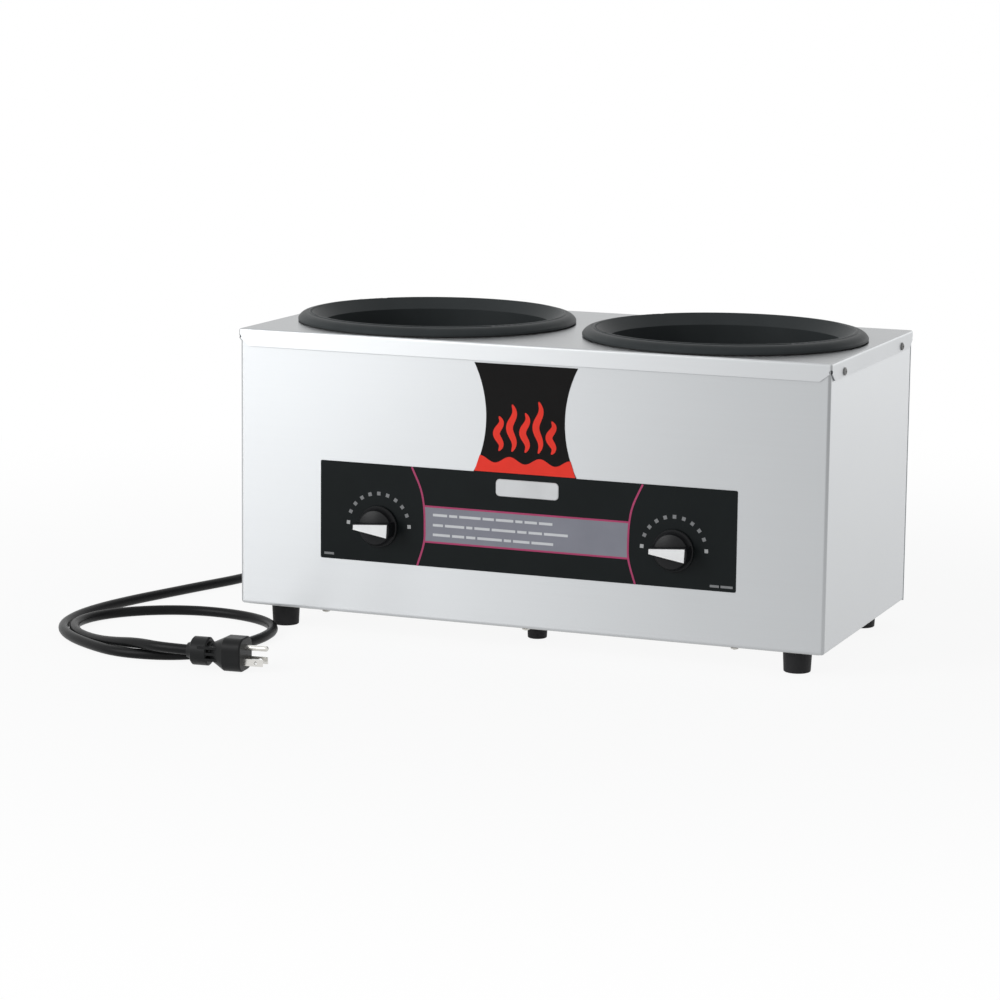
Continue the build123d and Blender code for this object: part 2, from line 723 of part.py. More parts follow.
def make_decal():
    """Waisted film between the overlay and the deck's flange."""
    low = body_bottom + OVERLAY_BOTTOM + OVERLAY_H
    high = low + DECAL_H
    middle = (low + high) / 2
    end, waist = DECAL_HALF_END, DECAL_HALF_WAIST
    sides = [ThreePointArc((s * end, low), (s * waist, middle), (s * end, high)) for s in (-1, 1)]
    ends = [Line((-end, z), (end, z)) for z in (low, high)]
    return front_film(make_face(sides + ends))


def front_film(outline):
    """A film on the front sheet's face, from an outline in width and height."""
    front = Plane(origin=(0, -wall_y, 0), x_dir=(1, 0, 0), z_dir=(0, -1, 0))
    return front.location * extrude(outline, FILM_T)


def make_strain_relief():
    """Gland body through the rear panel with a tapered tail, along +Y from the panel's face."""
    stem_r = GLAND_HOLE_R - HOLE_CLEARANCE
    tail_start = GLAND_FLANGE_T
    profile = Polyline(
        rz(0, -GLAND_IN),
        rz(stem_r, -GLAND_IN),
        rz(stem_r, 0),
        rz(GLAND_FLANGE_R, 0),
        rz(GLAND_FLANGE_R, tail_start),
        rz(stem_r, tail_start + 1),
        rz(GLAND_TAIL_R, tail_start + GLAND_TAIL),
        rz(0, tail_start + GLAND_TAIL),
        close=True,
    )
    return gland_plane() * turned(profile)


def gland_plane():
    return Plane(origin=(GLAND_X, wall_y, GLAND_Z), x_dir=(1, 0, 0), z_dir=(0, 1, 0)).location


def make_gland_nut():
    bore = GLAND_HOLE_R - HOLE_CLEARANCE + THREAD_GAP
    nut = hex_nut(2 * GLAND_FLANGE_R, GLAND_NUT_H, bore)
    return gland_plane() * Pos(0, 0, -SHEET - GLAND_NUT_H) * nut


def make_terminal_block():
    """Supply block on the base plate, with a pocket for each pole."""
    low = (BLOCK_X - BLOCK_W / 2, BLOCK_Y - BLOCK_D / 2, body_bottom)
    top = body_bottom + BLOCK_H
    body = block(low, (BLOCK_X + BLOCK_W / 2, BLOCK_Y + BLOCK_D / 2, top))
    for x in pole_places():
        pocket_low = (x - BLOCK_SLOT_W / 2, BLOCK_Y - BLOCK_D / 4, top - BLOCK_SLOT_H)
        body -= block(pocket_low, (x + BLOCK_SLOT_W / 2, BLOCK_Y + BLOCK_D / 4, top + 1))
    return body


def pole_places():
    pitch = BLOCK_W / BLOCK_POLES
    return [BLOCK_X + (i - (BLOCK_POLES - 1) / 2) * pitch for i in range(BLOCK_POLES)]


def make_clamp_screws():
    z = body_bottom + BLOCK_H - BLOCK_SLOT_H
    return [upright(x, BLOCK_Y, z, CLAMP_R, CLAMP_H) for x in pole_places()]


def make_supply_tail():
    """Sheathed end of the supply cable, from the gland down into the block."""
    start_y = wall_y - GLAND_IN
    first_pole = pole_places()[0]
    drop_y = BLOCK_Y + BLOCK_D / 4 + SUPPLY_TAIL_R
    route = [
        (GLAND_X, start_y, GLAND_Z),
        (GLAND_X, drop_y, GLAND_Z),
        (first_pole, drop_y, GLAND_Z),
        (first_pole, drop_y, body_bottom + BLOCK_H),
    ]
    return tube(route, SUPPLY_TAIL_R, LEAD_BEND)


def make_leads():
    """Leads of each side: block to thermostat, on to the cut-out, the element and the block again."""
    spade_y = -wall_y + SPADE_BACK
    spade_z = dial_z - THERMOSTAT_H / 2 - SPADE_L
    tab_z = dome_seat() - LIMIT_H - SPADE_L
    block_side = BLOCK_X + BLOCK_W / 2
    leads = []
    for i, x in enumerate((-WELL_X, WELL_X)):
        near, far = x - SPADE_X, x + SPADE_X
        tab_near, tab_far = x - LIMIT_R / 2, x + LIMIT_R / 2
        leg_near, leg_far = [(x + a, b) for a, b in leg_places()]
        feed_y, feed_z = BLOCK_Y + i * LEAD_PITCH, LEAD_FEED_Z + i * LEAD_STEP
        back_y = BLOCK_Y + (4 * i - 2) * LEAD_PITCH
        feed = [(block_side, feed_y, feed_z), (far, feed_y, feed_z), (far, spade_y, feed_z)]
        link = [(near, spade_y, spade_z), (near, spade_y, LEAD_LINK_Z), (tab_near, 0, LEAD_LINK_Z)]
        hop = [(tab_far, 0, tab_z), (tab_far, 0, LEAD_LINK_Z), (*leg_far, LEAD_LINK_Z)]
        back = [(*leg_near, ELEMENT_LEG_Z), (*leg_near, LEAD_RETURN_Z)]
        leads.append(feed + [(far, spade_y, spade_z)])
        leads.append(link + [(tab_near, 0, tab_z)])
        leads.append(hop + [(*leg_far, ELEMENT_LEG_Z)])
        leads.append(back + [(leg_near[0], back_y, LEAD_RETURN_Z), (block_side, back_y, LEAD_RETURN_Z)])
    return [tube(route, LEAD_R, LEAD_BEND) for route in leads]


def make_ground_stud():
    """Earth stud on the base plate with its nut."""
    stud = upright(GROUND_X, GROUND_Y, body_bottom, SCREW_R, GROUND_STUD_H)
    nut = Pos(GROUND_X, GROUND_Y, body_bottom) * hex_nut(NUT_AF, NUT_H, SCREW_R)
    return stud + nut


def bend_radii(points):
    """The radius at each inner point: 0.45 of its shorter run over the tangent of half the turn."""
    radii = []
    for a, b, c in zip(points, points[1:], points[2:]):
        before, after = Vector(*b) - Vector(*a), Vector(*c) - Vector(*b)
        half_turn = radians(before.get_angle(after)) / 2
        radii.append(0.45 * min(before.length, after.length) / tan(half_turn))
    return radii


def make_cord():
    radii = bend_radii(CORD_POINTS)
    path = FilletPolyline(*CORD_POINTS, radius=radii)
    cord = sweep(Plane(origin=path @ 0, z_dir=path % 0) * Circle(CORD_R), path=path)
    runs = [(Vector(*b) - Vector(*a)).length for a, b in zip(CORD_POINTS, CORD_POINTS[1:])]
    print("cord runs", [round(r) for r in runs])
    print("cord radii", [round(r) for r in radii])
    share = cord.volume / (pi * CORD_R**2 * path.length)
    print("cord length", round(path.length), "volume over section times length", round(share, 4))
    return cord


def plug_plane():
    """Local frame of the plug: z along its axis to the blades, y up."""
    across_axis = (-plug_axis.Y, plug_axis.X, 0)
    return Plane(origin=plug_tail, x_dir=across_axis, z_dir=plug_axis).location


def plug_face():
    return PLUG_TAIL_L + PLUG_COLLAR_L + PLUG_WAIST_L + PLUG_TAPER_L + PLUG_FACE_L


def make_plug_body():
    """Moulded plug: tapered tail, collar, waist, ribbed flanks and a rounded block at the face."""
    collar_end = PLUG_TAIL_L + PLUG_COLLAR_L
    waist_end = collar_end + PLUG_WAIST_L
    block_start = waist_end + PLUG_TAPER_L
    collar_in = PLUG_COLLAR_R - PLUG_COLLAR_EDGE
    tail = turned(
        Polyline(
            rz(0, 0),
            rz(PLUG_TAIL_R, 0),
            rz(PLUG_WAIST_R, PLUG_TAIL_L),
            rz(collar_in, PLUG_TAIL_L),
            rz(PLUG_COLLAR_R, PLUG_TAIL_L + PLUG_COLLAR_EDGE),
            rz(PLUG_COLLAR_R, collar_end - PLUG_COLLAR_EDGE),
            rz(collar_in, collar_end),
            rz(PLUG_WAIST_R, collar_end),
            rz(PLUG_WAIST_R, waist_end),
            rz(0, waist_end),
            close=True,
        )
    )
    outline = RectangleRounded(PLUG_W, 2 * PLUG_Z, PLUG_CORNER_R)
    taper = loft([Pos(0, 0, waist_end) * Circle(PLUG_WAIST_R), Pos(0, 0, block_start) * outline])
    head = extrude(Pos(0, 0, block_start) * outline, PLUG_FACE_L)
    head = fillet(head.faces().sort_by(Axis.Z)[-1].edges(), PLUG_ROUND)
    plug = tail + taper + head
    rib_start = PLUG_TAIL_L + PLUG_COLLAR_L / 2
    for i in range(PLUG_RIBS):
        y = (i - (PLUG_RIBS - 1) / 2) * PLUG_RIB_PITCH
        rib_low = (-PLUG_RIB_OUT, y - PLUG_RIB_W / 2, rib_start)
        plug += block(rib_low, (PLUG_RIB_OUT, y + PLUG_RIB_W / 2, block_start))
    return plug_plane() * plug


def make_blades():
    """Two flat blades, each with a hole near its end."""
    face = plug_face()
    drop = PIN_OFFSET / 2
    blade = Box(BLADE_T, BLADE_W, BLADE_L, align=(Align.CENTER, Align.CENTER, Align.MIN))
    blade -= Pos(0, 0, BLADE_L - BLADE_HOLE_END) * Rot(0, 90, 0) * Cylinder(BLADE_HOLE_R, 2 * BLADE_T)
    places = [Pos(x, -drop, face) for x in (-BLADE_SPACING / 2, BLADE_SPACING / 2)]
    return [plug_plane() * place * blade for place in places]


def make_ground_pin():
    face = plug_face()
    round_l = PIN_R
    pin = upright(0, PIN_OFFSET / 2, face, PIN_R, PIN_L - round_l)
    pin += Pos(0, PIN_OFFSET / 2, face + PIN_L - round_l) * Sphere(PIN_R)
    return plug_plane() * pin


def save_side(side, x):
    """Everything that comes once for each well."""
    here, dial = Pos(x, 0, 0), dial_plane(x)
    outer_r = BORE_R + WELL_WALL
    gasket_in = outer_r + WELL_CLEARANCE
    gasket = ring(x, 0, deck_top, gasket_in, gasket_in + RIM_GASKET_W, RIM_GASKET_T)
    collar_in = outer_r + THREAD_GAP
    collar = ring(x, 0, deck_under - COLLAR_T, collar_in, collar_in + COLLAR_W, COLLAR_T)
    seal = ring(x, 0, floor_z, HEATER_HOLE_R, HEATER_FLANGE_R, HEATER_GASKET_T)
    save(f"{side}_well", here * make_well())
    save(f"{side}_well_gasket", gasket)
    save(f"{side}_well_collar", collar)
    save(f"{side}_heater_dome", here * make_dome())
    save(f"{side}_heater_gasket", seal)
    save(f"{side}_heater_ring_nut", here * make_ring_nut())
    save(f"{side}_heating_element", here * make_element())
    save(f"{side}_limit_switch", here * make_limit_switch())
    save(f"{side}_thermostat", dial * make_thermostat())
    save(f"{side}_thermostat_nut", dial * hex_nut(BUSH_NUT_AF, BUSH_NUT_H, BUSH_R + THREAD_GAP))
    save(f"{side}_capillary_bulb", make_capillary(x))
    at_first_mark = dial * Rot(0, 0, -FIRST_MARK_DEG)
    save(f"{side}_spindle", at_first_mark * make_spindle())
    save(f"{side}_knob", at_first_mark * make_knob())
    save(f"{side}_pointer", at_first_mark * make_pointer())


def main():
    os.makedirs("parts", exist_ok=True)
    save("outer_wrapper", make_wrapper())
    save("top_deck", make_deck())
    save("rear_panel", make_rear_panel())
    save("base_plate", make_base())
    save("deck_screws", *screws(deck_screw_places()))
    save("rear_screws", *screws(rear_screw_places()))
    save("base_screws", *screws(base_screw_places()))
    save("corner_feet", *[Pos(x, y) * make_foot(FOOT_R) for x, y in corner_feet_places()])
    save("middle_feet", *[Pos(x, y) * make_foot(MID_FOOT_R) for x, y in middle_feet_places()])
    feet = corner_feet_places() + middle_feet_places()
    long_screw = Rot(180, 0, 0) * pan_screw(FOOT_H - FOOT_BORE_DEPTH + BASE_T + NUT_H)
    save("foot_screws", *[Pos(x, y, FOOT_BORE_DEPTH) * long_screw for x, y in feet])
    nut = hex_nut(NUT_AF, NUT_H, SCREW_R + THREAD_GAP)
    save("foot_nuts", *[Pos(x, y, body_bottom) * nut for x, y in feet])
    for side, x in (("left", -WELL_X), ("right", WELL_X)):
        save_side(side, x)
    save("control_overlay", make_overlay())
    save("front_decal", make_decal())
    save("terminal_block", make_terminal_block())
    save("terminal_clamps", *make_clamp_screws())
    save("ground_stud", make_ground_stud())
    save("wiring_leads", *make_leads())
    save("supply_tail", make_supply_tail())
    save("strain_relief", make_strain_relief())
    save("strain_relief_nut", make_gland_nut())
    save("power_cord", make_cord())
    save("plug_body", make_plug_body())
    save("plug_blades", *make_blades())
    save("plug_ground_pin", make_ground_pin())


main()
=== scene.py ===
from math import cos, pi, radians, sin

import bmesh
import bpy
from mathutils import Matrix, Vector


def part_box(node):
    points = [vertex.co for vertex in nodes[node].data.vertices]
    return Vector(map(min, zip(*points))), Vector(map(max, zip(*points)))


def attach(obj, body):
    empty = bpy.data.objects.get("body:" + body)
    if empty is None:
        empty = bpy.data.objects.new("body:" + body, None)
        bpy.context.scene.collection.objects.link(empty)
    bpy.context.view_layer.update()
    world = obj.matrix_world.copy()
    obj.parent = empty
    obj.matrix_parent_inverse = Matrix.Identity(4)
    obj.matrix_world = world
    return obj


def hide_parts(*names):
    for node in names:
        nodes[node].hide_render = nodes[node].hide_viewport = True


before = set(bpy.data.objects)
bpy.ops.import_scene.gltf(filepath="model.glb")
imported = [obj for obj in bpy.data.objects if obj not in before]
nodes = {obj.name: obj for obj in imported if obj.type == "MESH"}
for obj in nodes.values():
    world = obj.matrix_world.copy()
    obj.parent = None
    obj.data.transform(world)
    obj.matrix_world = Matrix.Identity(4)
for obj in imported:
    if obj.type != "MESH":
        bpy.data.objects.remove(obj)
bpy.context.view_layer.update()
scene = bpy.context.scene

BODY = "cabinet"

# Places on the front, in metres, in the CAD frame
FILM_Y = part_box("control_overlay")[0].y
DECAL_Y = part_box("front_decal")[0].y
DECAL_LOW, DECAL_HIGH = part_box("front_decal")[0].z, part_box("front_decal")[1].z
DIAL_X = 0.1437
DIAL_Z = 0.1065
PRINT_THICKNESS = 0.00006

# Power cord, from its gland to the plug
CORD_DIAMETER = 0.0094
CORD_POINTS = [
    (-0.2220, 0.1772, 0.0545),
    (-0.2220, 0.2032, 0.0545),
    (-0.2280, 0.2350, 0.0470),
    (-0.2540, 0.2630, 0.0310),
    (-0.2940, 0.2670, 0.0150),
    (-0.3298, 0.2448, 0.0060),
    (-0.3513, 0.2046, 0.0047),
    (-0.3605, 0.1562, 0.0047),
    (-0.3665, 0.1058, 0.0047),
    (-0.3761, 0.0554, 0.0047),
    (-0.3935, 0.0090, 0.0047),
    (-0.4092, -0.0367, 0.0047),
    (-0.4243, -0.0816, 0.0047),
    (-0.4350, -0.1264, 0.0047),
    (-0.4375, -0.1725, 0.0047),
    (-0.4272, -0.2149, 0.0047),
    (-0.4019, -0.2479, 0.0047),
    (-0.3674, -0.2730, 0.0047),
    (-0.3300, -0.2921, 0.0047),
    (-0.2912, -0.2911, 0.0047),
    (-0.2605, -0.2763, 0.0047),
    (-0.2441, -0.2469, 0.0047),
    (-0.2380, -0.2135, 0.0047),
    (-0.2340, -0.1790, 0.0047),
    (-0.2410, -0.1443, 0.0047),
    (-0.2640, -0.1165, 0.0047),
    (-0.2991, -0.1007, 0.0047),
    (-0.3413, -0.0981, 0.0047),
    (-0.3790, -0.1116, 0.0047),
    (-0.4082, -0.1374, 0.0047),
    (-0.4230, -0.1700, 0.0049),
    (-0.4209, -0.2040, 0.0050),
    (-0.4017, -0.2330, 0.0046),
    (-0.3745, -0.2546, 0.0053),
    (-0.3427, -0.2746, 0.0090),
    (-0.3077, -0.2906, 0.0147),
    (-0.2779, -0.3023, 0.0154),
    (-0.2520, -0.3000, 0.0150),
]


# Node materials
# Painted shade on the upright bent corners: where it lies, and how it fades with height
BEND_EDGE = (-0.4, -0.1)  # the normal's X times its Y
BEND_FADE = (0.06, 0.24)  # heights in metres
BEND_FOOT = 0.35  # share of the painted shade left at the foot
LEVEL_EDGE = (0.4, 0.9)  # the normal's Z
GRAIN_ACROSS = (0, 0.1, 1)


class Nodes:
    """A small wrapper that builds one material's node tree."""

    def __init__(self, name):
        self.material = bpy.data.materials.new(name)
        self.material.use_nodes = True
        self.tree = self.material.node_tree
        self.shader = self.tree.nodes["Principled BSDF"]

    def add(self, kind, **settings):
        node = self.tree.nodes.new(kind)
        for key, value in settings.items():
            setattr(node, key, value)
        return node

    def link(self, source, target):
        self.tree.links.new(source, target)

    def put(self, name, value):
        self.shader.inputs[name].default_value = value

    def place(self, stretch=(1, 1, 1)):
        """Object coordinates, scaled along each axis."""
        coords = self.add("ShaderNodeTexCoord")
        scale = self.add("ShaderNodeVectorMath", operation="MULTIPLY")
        scale.inputs[1].default_value = stretch
        self.link(coords.outputs["Object"], scale.inputs[0])
        return scale.outputs[0]

    def noise(self, vector, scale, detail=3.0, rough=0.55):
        node = self.add("ShaderNodeTexNoise")
        node.inputs["Scale"].default_value = scale
        node.inputs["Detail"].default_value = detail
        node.inputs["Roughness"].default_value = rough
        self.link(vector, node.inputs["Vector"])
        return node.outputs["Fac"]

    def spread(self, source, low, high, from_low=0.3, from_high=0.7, easing="LINEAR"):
        """A value mapped from one range to another, and held at its ends."""
        node = self.add("ShaderNodeMapRange", interpolation_type=easing)
        node.inputs["From Min"].default_value = from_low
        node.inputs["From Max"].default_value = from_high
        node.inputs["To Min"].default_value = low
        node.inputs["To Max"].default_value = high
        self.link(source, node.inputs["Value"])
        return node.outputs["Result"]

    def calculate(self, operation, a, b):
        node = self.add("ShaderNodeMath", operation=operation)
        self.link(a, node.inputs[0])
        self.link(b, node.inputs[1])
        return node.outputs[0]

    def blend(self, factor, a, b):
        """From one fixed colour to another."""
        node = self.add("ShaderNodeMix", data_type="RGBA")
        node.inputs["A"].default_value = (*a, 1)
        node.inputs["B"].default_value = (*b, 1)
        self.link(factor, node.inputs["Factor"])
        return node.outputs["Result"]

    def mix(self, factor, source, b):
        """From a colour made by other nodes to a fixed one."""
        node = self.add("ShaderNodeMix", data_type="RGBA")
        node.inputs["B"].default_value = (*b, 1)
        self.link(factor, node.inputs["Factor"])
        self.link(source, node.inputs["A"])
        return node.outputs["Result"]

    def mix_values(self, factor, a, b):
        node = self.add("ShaderNodeMix", data_type="FLOAT")
        self.link(factor, node.inputs["Factor"])
        self.link(a, node.inputs["A"])
        self.link(b, node.inputs["B"])
        return node.outputs["Result"]

    def parts_of(self, output):
        """X, Y and Z of the surface's Normal or Position."""
        surface = self.add("ShaderNodeNewGeometry")
        parts = self.add("ShaderNodeSeparateXYZ")
        self.link(surface.outputs[output], parts.inputs[0])
        return parts.outputs

    def bend_shade_mask(self):
        """Mask of painted shade: up to 1 on the upright bent corners front right and rear left, less
        towards the foot, else 0.
        """
        normal = self.parts_of("Normal")
        height = self.parts_of("Position")["Z"]
        turn = self.calculate("MULTIPLY", normal["X"], normal["Y"])
        at_bend = self.spread(turn, 1, 0, *BEND_EDGE)
        above_foot = self.spread(height, BEND_FOOT, 1, *BEND_FADE)
        return self.calculate("MULTIPLY", at_bend, above_foot)

    def facing_up(self):
        """1 on level faces, 0 on upright ones."""
        return self.spread(self.parts_of("Normal")["Z"], 0, 1, *LEVEL_EDGE)

    def grain_direction(self):
        """Level along every upright face, and along X on flat ones."""
        surface = self.add("ShaderNodeNewGeometry")
        cross = self.add("ShaderNodeVectorMath", operation="CROSS_PRODUCT")
        cross.inputs[1].default_value = GRAIN_ACROSS
        self.link(surface.outputs["Normal"], cross.inputs[0])
        unit = self.add("ShaderNodeVectorMath", operation="NORMALIZE")
        self.link(cross.outputs[0], unit.inputs[0])
        return unit.outputs[0]

    def color(self, source):
        self.link(source, self.shader.inputs["Base Color"])

    def roughness(self, source):
        self.link(source, self.shader.inputs["Roughness"])

    def bump(self, source, strength, distance):
        node = self.add("ShaderNodeBump")
        node.inputs["Strength"].default_value = strength
        node.inputs["Distance"].default_value = distance
        self.link(source, node.inputs["Height"])
        self.link(node.outputs["Normal"], self.shader.inputs["Normal"])


def shade(color, share):
    return tuple(min(1.0, c * share) for c in color)


STEEL = (0.497, 0.511, 0.523)
DECK_STEEL = (0.566, 0.580, 0.592)
# Painted shade: on the bent corners the sheet's colour is multiplied by this share
BEND_SHADE_TONE = 0.68
LINE_DETAIL, LINE_ROUGH = 4.0, 0.7
LINE_DARK, LINE_LIGHT = 0.985, 1.01
LINE_BUMP = 0.012
CLOUD_SCALE = 9.0
CLOUD_GLOSS = (-0.01, 0.015)
BUMP_DEPTH = 0.0001
ANISOTROPY, ANISOTROPY_TURN = 0.85, 0.25
BROAD_SCALE = 28.0
FINE_DETAIL = 4.0


def brushed(name, color, stretch, rough, grazing=1.0, level_rough=None, level_shade_tone=1.0):
    """Satin sheet: faint lines along the grain, broad faint clouds, and painted shade on the upright bent
    corners.

    Level faces may have a roughness of their own, and a painted shade that sets them darker or lighter
    than the upright faces.
    """
    look = Nodes(name)
    lines = look.noise(look.place(stretch), 1.0, LINE_DETAIL, LINE_ROUGH)
    clouds = look.noise(look.place(), CLOUD_SCALE)
    sheet = look.blend(look.spread(lines, 0, 1), shade(color, LINE_DARK), shade(color, LINE_LIGHT))
    gloss = look.spread(lines, *rough)
    if level_rough:
        level = look.facing_up()
        # Painted shade: level faces take their own share of the colour
        sheet = look.mix(level, sheet, shade(color, level_shade_tone))
        gloss = look.mix_values(level, gloss, look.spread(lines, *level_rough))
    # Painted shade darkens the upright bent corners
    look.color(look.mix(look.bend_shade_mask(), sheet, shade(color, BEND_SHADE_TONE)))
    look.roughness(look.calculate("ADD", gloss, look.spread(clouds, *CLOUD_GLOSS)))
    look.bump(lines, LINE_BUMP, BUMP_DEPTH)
    look.put("Metallic", 1.0)
    look.put("Specular Tint", (grazing, grazing, grazing, 1))
    look.put("Anisotropic", ANISOTROPY)
    look.put("Anisotropic Rotation", ANISOTROPY_TURN)
    look.link(look.grain_direction(), look.shader.inputs["Tangent"])
    return look.material


def grained(name, color, rough, grain, bump, vary=0.18, **sockets):
    """Moulded plastic, rubber or plated metal: an uneven tone, a fine grain and mottled gloss."""
    look = Nodes(name)
    here = look.place()
    fine = look.noise(here, grain, FINE_DETAIL)
    broad = look.noise(here, BROAD_SCALE)
    look.color(look.blend(look.spread(broad, 0, 1), shade(color, 1 - vary), shade(color, 1 + vary)))
    look.roughness(look.spread(fine, *rough))
    look.bump(fine, bump, BUMP_DEPTH)
    for key, value in sockets.items():
        look.put(key.replace("_", " "), value)
    return look.material


def metal(name, color, rough, grain, bump=0.1, vary=0.18, metallic=1.0):
    return grained(name, color, rough, grain, bump, vary, Metallic=metallic)


def black(name, color, rough, grain, bump, shine, vary=0.18):
    """Black plastic or rubber, which shines less than its index of refraction would give."""
    return grained(name, color, rough, grain, bump, vary, Specular_IOR_Level=shine)


def film(name, color, rough, shine):
    return black(name, color, rough, grain=2200, bump=0.06, shine=shine, vary=0.08)


def ink(name, color, rough=(0.35, 0.45), vary=0.05, **sockets):
    return grained(name, color, rough, grain=2500, bump=0.04, vary=vary, **sockets)


wall_steel = brushed("wall_steel", STEEL, stretch=(5, 5, 1500), rough=(0.37, 0.41))
deck_steel = brushed(
    "deck_steel",
    DECK_STEEL,
    stretch=(5, 1500, 1500),
    rough=(0.40, 0.44),
    grazing=0.78,
    level_rough=(0.19, 0.23),
    # painted shade: the deck's level top a little darker than its upright flanges
    level_shade_tone=0.93,
)
plain_steel = brushed("plain_steel", (0.5, 0.5, 0.49), stretch=(40, 400, 400), rough=(0.3, 0.42))

plated = metal("plated", (0.5, 0.49, 0.46), (0.25, 0.4), grain=700)
screw_steel = metal("screw_steel", (0.2, 0.2, 0.2), (0.42, 0.55), grain=1500, bump=0.12)
aluminium = metal("cast_aluminium", (0.52, 0.52, 0.53), (0.35, 0.5), grain=800, bump=0.2)
sheath = metal("element_sheath", (0.15, 0.15, 0.14), (0.4, 0.6), grain=600, bump=0.2, metallic=0.8)
copper = metal("copper", (0.68, 0.36, 0.22), (0.25, 0.4), grain=700)
brass = metal("brass", (0.66, 0.48, 0.22), (0.22, 0.36), grain=800)
nickel = metal("nickel", (0.70, 0.69, 0.66), (0.16, 0.28), grain=900, bump=0.06, vary=0.06)
badge_silver = metal("badge_silver", (0.52, 0.53, 0.54), (0.3, 0.4), grain=1800, bump=0.08, vary=0.05)

resin = black(
    "well_resin", (0.037, 0.042, 0.0435), (0.4, 0.5), grain=1100, bump=0.1, shine=0.1, vary=0.08
)
foot_rubber = black("foot_rubber", (0.012, 0.012, 0.013), (0.5, 0.7), grain=1400, bump=0.3, shine=0.25)
knob_black = black("knob_plastic", (0.0085, 0.009, 0.010), (0.3, 0.42), grain=1300, bump=0.15, shine=0.2)
cord_black = black("cord_jacket", (0.0065, 0.007, 0.0075), (0.3, 0.42), grain=1500, bump=0.2, shine=0.13)
plug_black = black("plug_plastic", (0.010, 0.0105, 0.011), (0.34, 0.46), grain=1200, bump=0.2, shine=0.18)
film_black = film("overlay_film", (0.008, 0.0105, 0.011), (0.3, 0.4), shine=0.1)
decal_black = film("decal_film", (0.0075, 0.007, 0.007), (0.26, 0.34), shine=0.08)

gasket = grained("gasket", (0.03, 0.03, 0.03), (0.5, 0.7), grain=1200, bump=0.25)
phenolic = grained("phenolic", (0.05, 0.042, 0.038), (0.4, 0.55), grain=900, bump=0.2)
cream = grained("block_plastic", (0.72, 0.69, 0.58), (0.4, 0.55), grain=900, bump=0.15)
sleeve = grained("lead_sleeve", (0.6, 0.6, 0.57), (0.5, 0.7), grain=2000, bump=0.3)
# Painted shade for the inside of the screws' cross recesses
recess_shade = grained("screw_recess", (0.03, 0.03, 0.03), (0.5, 0.6), grain=1500, bump=0.1)
pointer_white = grained(
    "pointer_white", (0.94, 0.945, 0.94), (0.3, 0.4), grain=1500, bump=0.08, vary=0.03
)

print_grey = ink("print_grey", (0.24, 0.245, 0.285), (0.3, 0.4), Specular_IOR_Level=0.25)
print_light = ink("print_light", (0.62, 0.63, 0.65), vary=0.04)
print_mark = ink("print_mark", (0.2, 0.205, 0.21))
print_end_mark = ink("print_end_mark", (0.42, 0.43, 0.43))
print_red = ink("print_red", (0.86, 0.035, 0.018), (0.3, 0.4), Specular_IOR_Level=0.25)
print_magenta = ink("print_magenta", (0.4, 0.028, 0.12), vary=0.08)


def both(name):
    return [f"left_{name}", f"right_{name}"]


FINISHES = [
    (wall_steel, ["outer_wrapper", "rear_panel"]),
    (deck_steel, ["top_deck"]),
    (plain_steel, ["base_plate", *both("well_collar")]),
    (plated, ["rear_screws", "base_screws", "foot_screws", "foot_nuts"]),
    (plated, both("heater_ring_nut") + both("thermostat_nut")),
    (screw_steel, ["deck_screws"]),
    (resin, both("well")),
    (foot_rubber, ["corner_feet", "middle_feet"]),
    (gasket, both("well_gasket") + both("heater_gasket")),
    (aluminium, both("heater_dome")),
    (sheath, both("heating_element")),
    (phenolic, both("limit_switch") + both("thermostat")),
    (copper, both("capillary_bulb")),
    (brass, both("spindle") + ["terminal_clamps", "ground_stud"]),
    (knob_black, both("knob")),
    (pointer_white, both("pointer")),
    (film_black, ["control_overlay"]),
    (decal_black, ["front_decal"]),
    (cream, ["terminal_block"]),
    (sleeve, ["wiring_leads"]),
    (cord_black, ["supply_tail", "power_cord"]),
    (plug_black, ["strain_relief", "strain_relief_nut", "plug_body"]),
    (nickel, ["plug_blades", "plug_ground_pin"]),
]
for material, names in FINISHES:
    for name in names:
        nodes[name].data.materials.clear()
        nodes[name].data.materials.append(material)


def finish_piece(name, bm, material):
    """Make an object of a built mesh, and let it ride on the cabinet."""
    bmesh.ops.recalc_face_normals(bm, faces=bm.faces)
    mesh = bpy.data.meshes.new(name)
    bm.to_mesh(mesh)
    bm.free()
    mesh.materials.append(material)
    piece = bpy.data.objects.new(name, mesh)
    scene.collection.objects.link(piece)
    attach(piece, BODY)


# Printing on the front: thin flat shapes on the films
def print_piece(name, outlines, y, material, lift=0.0, proud=PRINT_THICKNESS):
    """One object from closed outlines in (x, z), standing proud of the film at y."""
    bm = bmesh.new()
    back, front = y - lift, y - lift - proud
    for outline in outlines:
        rear = [bm.verts.new((px, back, pz)) for px, pz in outline]
        face = [bm.verts.new((px, front, pz)) for px, pz in outline]
        bm.faces.new(face)
        bm.faces.new(list(reversed(rear)))
        count = len(outline)
        for i in range(count):
            j = (i + 1) % count
            bm.faces.new((face[i], rear[i], rear[j], face[j]))
    finish_piece(name, bm, material)


def rectangle(x0, x1, z0, z1):
    return [(x0, z0), (x1, z0), (x1, z1), (x0, z1)]


def turned_square(cx, cz, size, angle):
    half = size / 2
    corners = [(-half, -half), (half, -half), (half, half), (-half, half)]
    c, s = cos(angle), sin(angle)
    return [(cx + c * a - s * b, cz + s * a + c * b) for a, b in corners]


def span_point(a, b, c, d, t):
    """One coordinate of a Catmull-Rom span from b to c, at a share t of the way."""
    square = (2 * a - 5 * b + 4 * c - d) * t * t
    cube = (3 * b - a - 3 * c + d) * t**3
    return 0.5 * (2 * b + (c - a) * t + square + cube)


def smooth_line(points, steps=12):
    """A smooth run through points, by Catmull-Rom spans."""
    padded = [points[0]] + list(points) + [points[-1]]
    run = []
    for ends in zip(padded, padded[1:], padded[2:], padded[3:]):
        for i in range(steps):
            run.append(tuple(span_point(*values, i / steps) for values in zip(*ends)))
    run.append(tuple(points[-1]))
    return run


